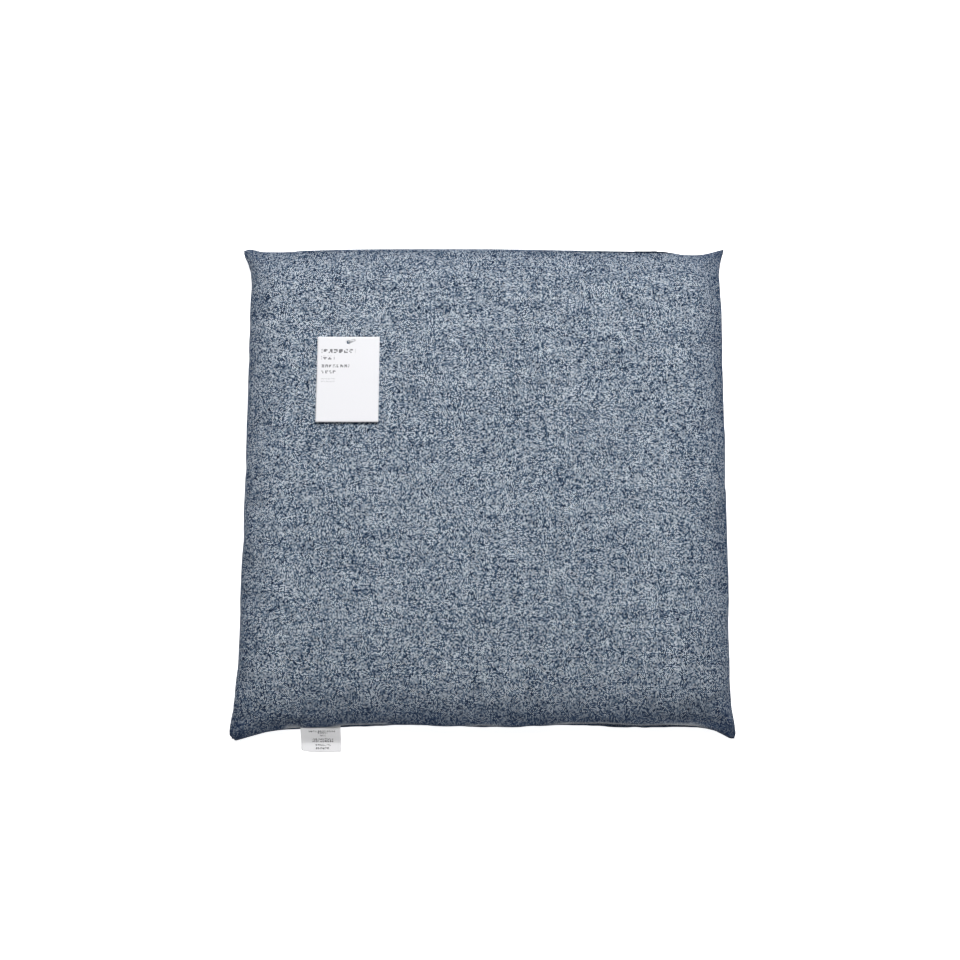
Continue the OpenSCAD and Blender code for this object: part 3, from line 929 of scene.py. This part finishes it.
def overlock():
    """Thread that wraps the raw edges of both allowances in a zigzag."""
    line, out, room = seam_line(ALLOWANCE)
    far = far_along(line)
    q = np.arange(0, far[-1], OVERLOCK_STEP)
    path, side = at_far(q, far, line), at_far(q, far, out)
    turn = np.arange(len(q)) * math.pi / 2
    size = np.interp(q, far, room)
    path = path + side * (OVERLOCK_HALF[0] * size * np.cos(turn))[:, None]
    path[:, 2] += OVERLOCK_HALF[1] * size * np.sin(turn)
    return tube(path, 0.22, 6)


piece("overlock_thread", overlock(), "navy_thread", "pad")


# ---- the filling ----

SLAB_HALF = (188.5, 190.5)        # the slab's half width and depth
SLAB_ROLL = 46.0                  # how far in its rounded edges start
SLAB_FRONT_ROLL = 84.0            # the same at the front, where the cover slopes further in
SLAB_POWER = 2.0
SLAB_TOP = 11.6                   # rise of its upper face over its middle
SLAB_MID = 14.0                   # height of its middle
SLAB_SINK = 3.0                   # how much lower its middle is at the front
LINER_T = 0.3


def slab_surface(side, shrink=0.0, n=61):
    """A face of the slab as a grid."""
    a = np.sin(np.linspace(-1, 1, n) * math.pi / 2)
    half = np.array(SLAB_HALF) - shrink
    x, y = np.meshgrid(a * half[0], a * half[1], indexing="ij")
    off_x = np.clip((np.abs(x) - half[0] + SLAB_ROLL) / SLAB_ROLL, 0, 1)
    roll = np.where((y < 0) & (side > 0), SLAB_FRONT_ROLL, SLAB_ROLL)
    off_y = np.clip((np.abs(y) - half[1] + roll) / roll, 0, 1)
    rest = np.clip(1 - off_x**SLAB_POWER - off_y**SLAB_POWER, 0, 1) ** (1 / SLAB_POWER)
    middle = SLAB_MID - SLAB_SINK * np.clip((1 - y / half[1]) / 2, 0, 1) ** 2
    face = SLAB_MID + side * (SLAB_TOP - shrink)
    return np.stack([x, y, middle + (face - middle) * rest], -1)


def closed_slab(shrink):
    faces_at = [slab_surface(side, shrink) for side in (1, -1)]
    n = len(faces_at[0])
    verts = np.concatenate([f.reshape(-1, 3) for f in faces_at])
    faces = grid_faces(n, n) + grid_faces(n, n, n * n, True)
    rim = [i * n + j for i, j in rim_cells(n, n)]
    for k, a in enumerate(rim):
        b = rim[(k + 1) % len(rim)]
        faces.append([b, a, a + n * n, b + n * n])
    return verts, faces


def rumple(verts, height, scale, seed):
    """Moves points up and down a little, in soft uneven waves."""
    rng = np.random.default_rng(seed)
    x, y = verts[..., 0], verts[..., 1]
    wave = 0
    for _ in range(7):
        turn, phase = rng.uniform(0, 2 * math.pi, 2)
        length = scale * rng.uniform(0.6, 1.8)
        wave = wave + np.sin((x * math.cos(turn) + y * math.sin(turn)) * 2 * math.pi / length + phase)
    verts = verts.copy()
    verts[..., 2] += height * wave / 7
    return verts


def liner_face(side):
    """A sheet of the inner bag, as a grid."""
    return rumple(slab_surface(side), height=0.5, scale=38, seed=5)


foam_verts, foam_faces = closed_slab(shrink=1.2)
piece("foam_core", (rumple(foam_verts, 0.25, 9, 3), foam_faces), "foam", "pad")

for side, name in ((1, "liner_top"), (-1, "liner_bottom")):
    surface = liner_face(side)
    n = len(surface)
    bag_sheet = piece(name, (surface.reshape(-1, 3), grid_faces(n, n, 0, side < 0)), "liner", "pad")
    thicken(bag_sheet, LINER_T)


def liner_seam():
    surface = liner_face(1)
    n = len(surface)
    rim = [surface[i, j] for i, j in rim_cells(n, n)]
    line = np.array(rim + rim[:1])
    line[:, :2] *= 1.0012
    out = line / np.linalg.norm(line[:, :2], axis=1, keepdims=True)
    out[:, 2] = 0
    return stitches(line, out, length=3.2, gap=0.8, radius=0.25)


piece("liner_thread", liner_seam(), "white_thread", "pad")


# ---- the zip ----

TAPE_T = 0.5


def tape(side):
    """A woven tape along the coil, leaning in under the cloth further out."""
    name = "zip_tape_upper" if side > 0 else "zip_tape_lower"
    low, high = box_mm(name)
    path = [(TAPE_Y - lean, up) for lean, up in (
        (0, 0.80), (0, 1.4), (0, 2.2), (0, 3.4), (0, 4.4), (0.5, 5.3), (1.5, 6.0), (2.8, 6.5), (4.2, 6.8),
        (5.6, 7.0))]
    xs = np.linspace(low[0], high[0], 241)
    ripple = 0.10 * np.sin(xs / 9.0) + 0.06 * np.sin(xs / 3.7 + 1)
    verts = [(x, y + r * max(0.0, up - 4) / 6, SEAM_Z + side * up)
             for x, r in zip(xs, ripple) for y, up in path]
    faces = grid_faces(len(xs), len(path), 0, side > 0)
    ob = piece(name, (np.array(verts), faces), "tape", "pad")
    thicken(ob, TAPE_T)


def coil(side):
    """A row of nylon coil: one monofilament wound along the tape's edge."""
    pitch, wire = 1.36, 0.27
    turns = int((2 * ZIP_HALF - 1) / pitch)
    t = np.arange(turns * 12 + 1) / 12
    x = -ZIP_HALF + 0.5 + t * pitch + (0.5 * pitch if side > 0 else 0)
    x = np.minimum(x, ZIP_HALF - 0.3)
    angle = 2 * math.pi * t
    y = TAPE_Y + 0.05 + wire + (COIL_HIGH[1] - TAPE_Y - 0.05 - 2 * wire) * (0.5 - 0.5 * np.cos(angle))
    z = SEAM_Z + side * (1.52 + 0.66 * np.sin(angle))
    return tube(np.stack([x, y, z], -1), wire, 6, (1, 0.001, 0))


def lip_stitches(panel, side):
    """The stitch row that holds a panel's folded lip to its tape."""
    row_a, row_b = panel[:, -1], panel[:, -2]
    inside = np.abs(row_a[:, 0]) < ZIP_HALF + 2
    line = (0.42 * row_a + 0.58 * row_b)[inside]
    rise = (row_b - row_a)[inside]
    out = np.stack([0 * rise[:, 0], np.abs(rise[:, 2]), -side * np.abs(rise[:, 1])], -1)
    out /= np.linalg.norm(out, axis=1, keepdims=True)
    return stitches(line + out * 0.16, out, length=2.5, gap=0.7, radius=0.24)


for side, panel, word in ((1, TOP, "upper"), (-1, BOTTOM, "lower")):
    tape(side)
    piece("zip_coil_" + word, coil(side), "coil", "pad")
    piece("zip_stitch_" + word, lip_stitches(panel, side), "zip_thread", "pad")


def clip(middle_x, middle_z, width, height):
    """A crimped clip: a channel round the tape's edge with two prongs turned in over the coil."""
    y0, y1 = TAPE_Y + 0.05, TAPE_Y + 1.5
    w, h = width / 2, height / 2
    outline = [(-w, y0), (w, y0), (w, y1 - 0.35), (w * 0.7, y1), (w * 0.25, y1), (0, y1 - 0.45),
               (-w * 0.25, y1), (-w * 0.7, y1), (-w, y1 - 0.35)]
    verts, faces = block(outline, -h, h)
    verts = verts + np.array([middle_x, 0, middle_z])
    return verts, faces


STOPS_LOW, STOPS_HIGH = box_mm("zip_top_stops")
stop_x = (STOPS_LOW[0] + STOPS_HIGH[0]) / 2
pair = merged([clip(stop_x, SEAM_Z + side * 1.9, 2.0, 2.0) for side in (1, -1)])
bevelled(piece("zip_top_stops", pair, "stop", "pad", smooth=False), 0.18)
END_LOW, END_HIGH = box_mm("zip_bottom_stop")
end_clip = clip((END_LOW[0] + END_HIGH[0]) / 2, SEAM_Z, 2.5, 5.8)
bevelled(piece("zip_bottom_stop", end_clip, "stop", "pad", smooth=False), 0.25)

for name in ("zip_slider", "pull_tab"):
    ob = bpy.data.objects[name]
    ob.data.materials.clear()
    ob.data.materials.append(M["slider"])
    bevelled(ob, 0.16)


# ---- the care label ----

LABEL_PLY = 0.22                  # thickness of one ply
LABEL_REACH = LABEL_HIGH[1] - LABEL_LOW[1]


def label_path():
    """The upper ply's line in depth (from the seam outwards) and height, then the fold, then the
    lower ply back to the seam."""
    seam_z = LABEL_HIGH[2]
    out = np.array([-7.0, -3.5, -1.0, 0.4, 1.6, 2.8, 4.2, 5.8, 7.6, 9.4, 11.4, 13.4, 15.4, 17.2, 18.5])
    drop = np.clip(out / 12.5, 0, 1)
    height = seam_z - 0.15 - (seam_z - 1.25) * (1 - (1 - drop) ** 1.7 * (1 + 0.6 * drop))
    tip = [(LABEL_REACH - 0.22, height[-1] - 0.30), (LABEL_REACH - 0.05, height[-1] - 0.52),
           (LABEL_REACH - 0.25, height[-1] - 0.70)]
    upper = list(zip(out, height))
    lower = [(q, h - 0.36) for q, h in upper[::-1]]
    lower[0] = (lower[0][0], height[-1] - 0.62)
    return np.array(upper + tip + lower)


def label_mesh():
    path = label_path()
    far = np.concatenate([[0], np.cumsum(np.hypot(*np.diff(path, axis=0).T))])
    q = np.linspace(0, far[-1], 118)
    depth, height = np.interp(q, far, path[:, 0]), np.interp(q, far, path[:, 1])
    a = np.linspace(-1, 1, 25)
    half = (LABEL_HIGH[0] - LABEL_LOW[0]) / 2
    middle = (LABEL_HIGH[0] + LABEL_LOW[0]) / 2
    across = a[None, :]
    near_tip = np.clip((depth - LABEL_REACH + 4.5) / 4.5, 0, 1)[:, None]
    trim = np.where(across < 0, 1.5 * near_tip**2.2 * across**4, 0.3 * near_tip**2 * across**6)
    x = middle + half * across * (1 - 0.05 * near_tip**2 * (across < 0))
    y = LABEL_HIGH[1] - depth[:, None] + trim
    out = np.clip(depth / LABEL_REACH, 0, 1)[:, None]
    z = height[:, None] + out * (1 - 0.55 * out) * (0.55 * across**2 + 0.25 * np.sin(2.6 * across))
    verts = np.stack([x + 0 * z, y, np.maximum(z, 0.25)], -1)
    uv = np.stack(np.meshgrid(q, half + half * a, indexing="ij")[::-1], -1)
    return verts.reshape(-1, 3), grid_faces(len(q), len(a)), uv.reshape(-1, 2), far[-1]


verts, faces, uv, label_cut = label_mesh()
label = new_object("care_label", verts, faces, M["satin"])
with_uv(label, "ribbon", uv)
thicken(label, LABEL_PLY)
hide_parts("care_label")
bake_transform(label)


# ---- the card tag and its pin ----

HOLE_R = 1.6                      # radius of the hole in the card
BAR_R, BAR_HALF = 0.5, 4.5        # the crossbar's radius and half length


def tag_mesh():
    """The card as a grid with a round hole, with its UV places; the hole is joined to the grid by
    rings of cells."""
    size = TAG_HIGH - TAG_LOW
    nx, ny = 40, 57
    gx, gy = np.linspace(0, size[0], nx + 1), np.linspace(0, size[1], ny + 1)
    hole = np.array([PIN[0] - TAG_LOW[0], PIN[1] - TAG_LOW[1]])
    ci, cj = int(round(hole[0] / gx[1])), int(round(hole[1] / gy[1]))
    reach = 3
    flat = [(x, y) for x in gx for y in gy]
    cols = ny + 1
    faces = [[i * cols + j, (i + 1) * cols + j, (i + 1) * cols + j + 1, i * cols + j + 1]
             for i in range(nx) for j in range(ny)
             if not (ci - reach <= i < ci + reach and cj - reach <= j < cj + reach)]
    span = range(2 * reach)
    ring = [(ci - reach + k, cj - reach) for k in span] + [(ci + reach, cj - reach + k) for k in span]
    ring += [(ci + reach - k, cj + reach) for k in span] + [(ci - reach, cj + reach - k) for k in span]
    last = [i * cols + j for i, j in ring]
    square = np.array([flat[k] for k in last])
    turn = np.arctan2(*(square - hole).T[::-1])
    circle = hole + HOLE_R * np.stack([np.cos(turn), np.sin(turn)], -1)
    for step in (0.35, 0.7, 1.0):
        level = square + (circle - square) * step
        first = len(flat)
        flat += [tuple(p) for p in level]
        now = list(range(first, first + len(ring)))
        for k in range(len(ring)):
            m = (k + 1) % len(ring)
            faces.append([last[k], last[m], now[m], now[k]])
        last = now
    flat = np.array(flat)
    down = np.clip((hole[1] - flat[:, 1]) / hole[1], 0, 1)
    right = np.clip((flat[:, 0] - hole[0]) / (size[0] / 2), -1, 1)
    curl = 1.25 * down**2.2 + 0.45 * down * np.maximum(right, 0) ** 2 - 0.25 * down * right * (down > 0.5)
    z = TAG_HIGH[2] + np.maximum(curl, 0)
    verts = np.stack([flat[:, 0] + TAG_LOW[0], flat[:, 1] + TAG_LOW[1], z], -1)
    return verts, faces, flat


verts, faces, uv = tag_mesh()
tag = piece("hang_tag", (verts, faces), "card", "hang_tag")
with_uv(tag, "card", uv)
thicken(tag, TAG_HIGH[2] - TAG_LOW[2])


def pin_mesh():
    """Tag pin: a crossbar under the cloth, a thin filament, and a flat head on the card."""
    x, y, z = PIN
    bar_z = BAR_LOW[2] + BAR_R
    t = np.linspace(-1, 1, 15)
    bar = tube([(x + BAR_HALF * q, y, bar_z) for q in t], BAR_R * (1 - np.abs(t) ** 8 * 0.6), 12)
    top = TAG_HIGH[2]
    way = [(0, 0, bar_z), (0, 0, bar_z + 0.8), (0.05, 0, 29.6), (0.1, 0.02, top - 0.6),
           (0.2, 0.05, top - 0.2), (0.45, 0.14, top + 0.16), (0.9, 0.32, top + 0.28), (1.6, 0.6, top + 0.3)]
    thick = [0.42, 0.34, 0.3, 0.3, 0.3, 0.3, 0.34, 0.36]
    line = tube([(x + a, y + b, c) for a, b, c in way], thick, 10, (0, 1, 0.01))
    a = np.linspace(-1, 1, 17)
    paddle_w = 1.08 * (1 - np.abs(a) ** 6) ** 0.5 + 0.02
    sides = 14
    head, head_faces = tube([(3.0 * q, 0, 0) for q in a], 1.0, sides)
    rings = head.reshape(len(a), sides, 3)
    rings[..., 1] *= paddle_w[:, None]
    rings[..., 2] *= 0.24 * paddle_w[:, None]
    turn = math.radians(20)
    rings = np.stack([x + 2.9 + rings[..., 0] * math.cos(turn) - rings[..., 1] * math.sin(turn),
                      y + 1.1 + rings[..., 0] * math.sin(turn) + rings[..., 1] * math.cos(turn),
                      top + 0.30 + rings[..., 2]], -1)
    return merged([bar, line, (rings.reshape(-1, 3), head_faces)])


pin = new_object("tag_pin", *pin_mesh(), M["nylon"])
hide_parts("tag_pin_bar", "tag_pin_head")
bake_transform(pin)
